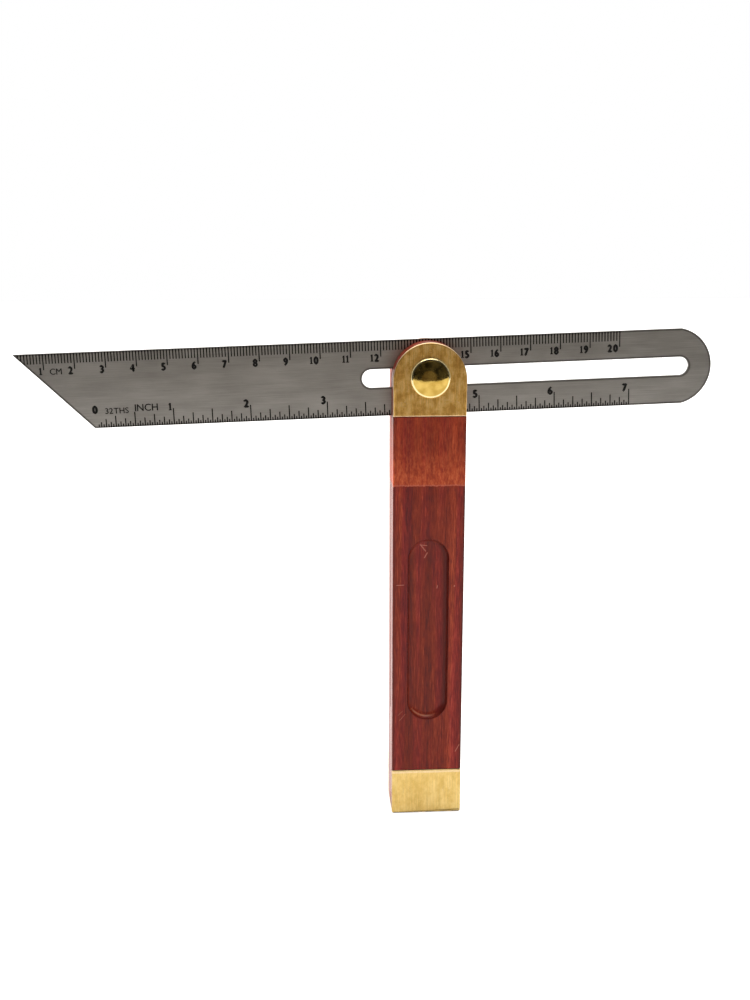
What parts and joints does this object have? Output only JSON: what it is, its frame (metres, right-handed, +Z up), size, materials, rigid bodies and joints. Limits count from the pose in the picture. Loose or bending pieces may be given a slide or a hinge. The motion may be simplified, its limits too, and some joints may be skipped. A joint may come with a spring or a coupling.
{
  "type": "sliding t-bevel",
  "caption": "Sliding T-bevel: a slotted steel rule blade with a slanted tip, clamped by a domed brass bolt and wing nut in the sawn head of a hardwood stock with brass facings.",
  "frame": {"origin": "centre of the end cap's bottom face, which is the end the stock stands on", "axes": "+Z up along the stock to the head, +X along the blade towards its rounded end (square across the stock), -Y out of the front, the side with the domed bolt head"},
  "size_m": [0.2311, 0.0324, 0.1699],
  "materials": {
    "stock_wood": "clear-lacquered red hardwood, straight grain with dark streaks",
    "brass_brushed": "brushed along the stock",
    "brass_polished": "polished",
    "blade_steel": "brushed along the blade, scales etched black"
  },
  "bodies": {
    "stock": {"stock_body": "stock_wood", "head_plate_front": "brass_brushed", "head_plate_back": "brass_brushed", "end_cap": "brass_brushed", "plate_pin_front_top": "brass_brushed", "plate_pin_front_left": "brass_brushed", "plate_pin_front_right": "brass_brushed", "plate_pin_back_top": "brass_brushed", "plate_pin_back_left": "brass_brushed", "plate_pin_back_right": "brass_brushed", "cap_rivet_left": "brass_brushed", "cap_rivet_right": "brass_brushed"},
    "bolt": {"pivot_bolt": "brass_polished"},
    "blade": {"blade": "blade_steel"},
    "washer": {"washer": "brass_brushed"},
    "wing_nut": {"wing_nut": "brass_polished"}
  },
  "joints": [
    {"name": "blade_swing", "type": "hinge", "parent": "stock", "child": "bolt", "pos_m": [0, 0, 0.155], "axis": [0, 1, 0], "range_deg": [-75.7, 260]},
    {"name": "blade_slide", "type": "slide", "parent": "bolt", "child": "blade", "axis": [0.9995, 0, 0.0332], "range_m": [-0.083, 0.017]},
    {"name": "nut_travel", "type": "slide", "parent": "bolt", "child": "washer", "axis": [0, 1, 0], "range_m": [0, 0.002]},
    {"name": "wing_nut_turn", "type": "hinge", "parent": "washer", "child": "wing_nut", "pos_m": [0, 0.0135, 0.155], "axis": [0, -1, 0], "range_deg": [0, 721]}
  ],
  "couplings": [
    {"joint": "wing_nut_turn", "follows": "nut_travel", "rad_per_m": 6283.2}
  ]
}
